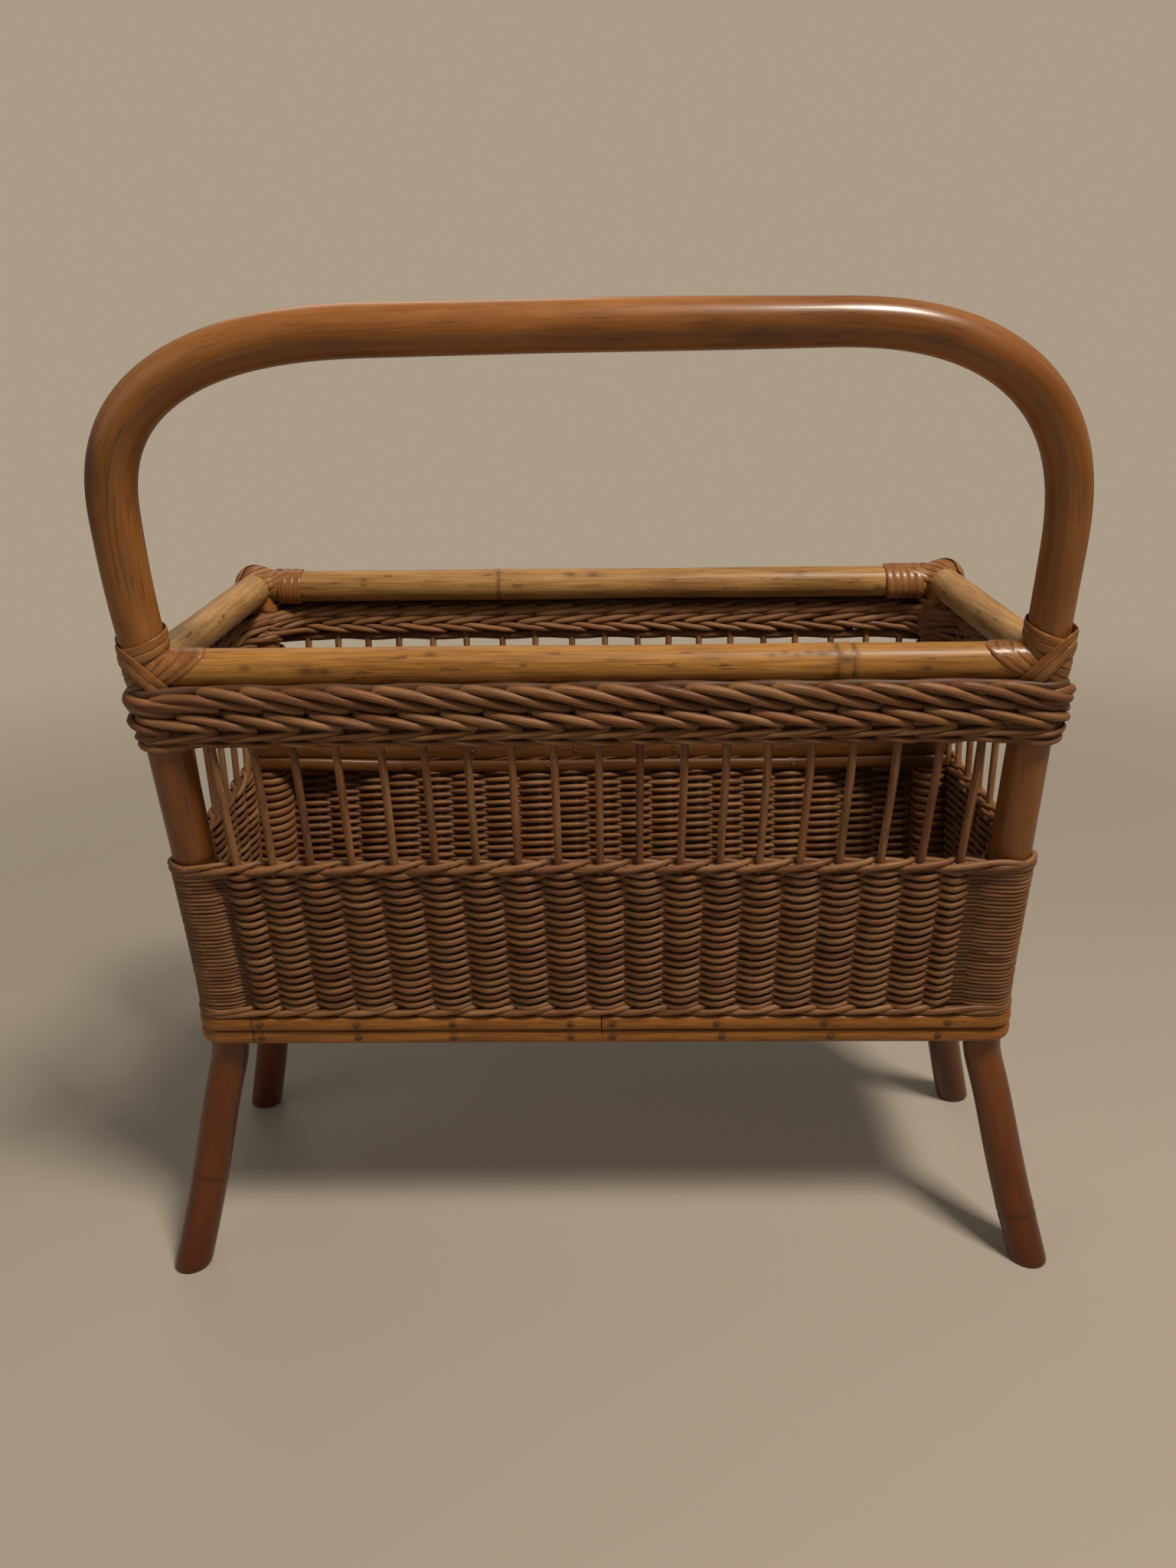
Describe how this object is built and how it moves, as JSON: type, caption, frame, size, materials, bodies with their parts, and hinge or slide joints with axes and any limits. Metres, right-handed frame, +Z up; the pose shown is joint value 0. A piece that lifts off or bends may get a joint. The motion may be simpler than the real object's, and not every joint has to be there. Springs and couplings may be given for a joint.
{
  "type": "magazine basket",
  "caption": "Freestanding cane magazine basket with an arched carrying handle, splayed legs, a woven lower wall and a plaited border.",
  "frame": {"origin": "on the floor, in the middle of the overall width and depth", "axes": "+X to the right seen from the handle side, +Y towards the wall without the handle, +Z up"},
  "size_m": [0.5008, 0.23, 0.5104],
  "materials": {
    "pole": "gloss varnished cane",
    "rail": "gloss varnished cane",
    "wicker": "satin wicker",
    "strip": "satin split cane",
    "binding": "gloss split cane",
    "board": "plain board"
  },
  "bodies": {
    "root": {"handle_hoop": "pole", "back_left_post": "pole", "back_right_post": "pole", "front_rim_rail": "rail", "back_rim_rail": "rail", "left_rim_rail": "rail", "right_rim_rail": "rail", "front_base_rail": "rail", "back_base_rail": "rail", "left_base_rail": "rail", "right_base_rail": "rail", "base_board": "board", "front_stake_01": "wicker", "front_stake_02": "wicker", "front_stake_03": "wicker", "front_stake_04": "wicker", "front_stake_05": "wicker", "front_stake_06": "wicker", "front_stake_07": "wicker", "front_stake_08": "wicker", "front_stake_09": "wicker", "front_stake_10": "wicker", "front_stake_11": "wicker", "front_stake_12": "wicker", "front_stake_13": "wicker", "front_stake_14": "wicker", "front_stake_15": "wicker", "front_stake_16": "wicker", "front_stake_17": "wicker", "front_stake_18": "wicker", "front_stake_19": "wicker", "left_stake_1": "wicker", "left_stake_2": "wicker", "left_stake_3": "wicker", "left_stake_4": "wicker", "left_stake_5": "wicker", "left_stake_6": "wicker", "right_stake_1": "wicker", "right_stake_2": "wicker", "right_stake_3": "wicker", "right_stake_4": "wicker", "right_stake_5": "wicker", "right_stake_6": "wicker", "back_stakes": "wicker", "woven_wall": "wicker", "plaited_border": "wicker", "lower_weave_twist": "wicker", "upper_weave_twist": "wicker", "lower_base_strip": "strip", "upper_base_strip": "strip", "lower_back_strip_left": "strip", "lower_back_strip_right": "strip", "upper_back_strip_left": "strip", "upper_back_strip_right": "strip", "front_left_binding": "binding", "front_right_binding": "binding", "back_left_binding": "binding", "back_right_binding": "binding"}
  },
  "joints": []
}
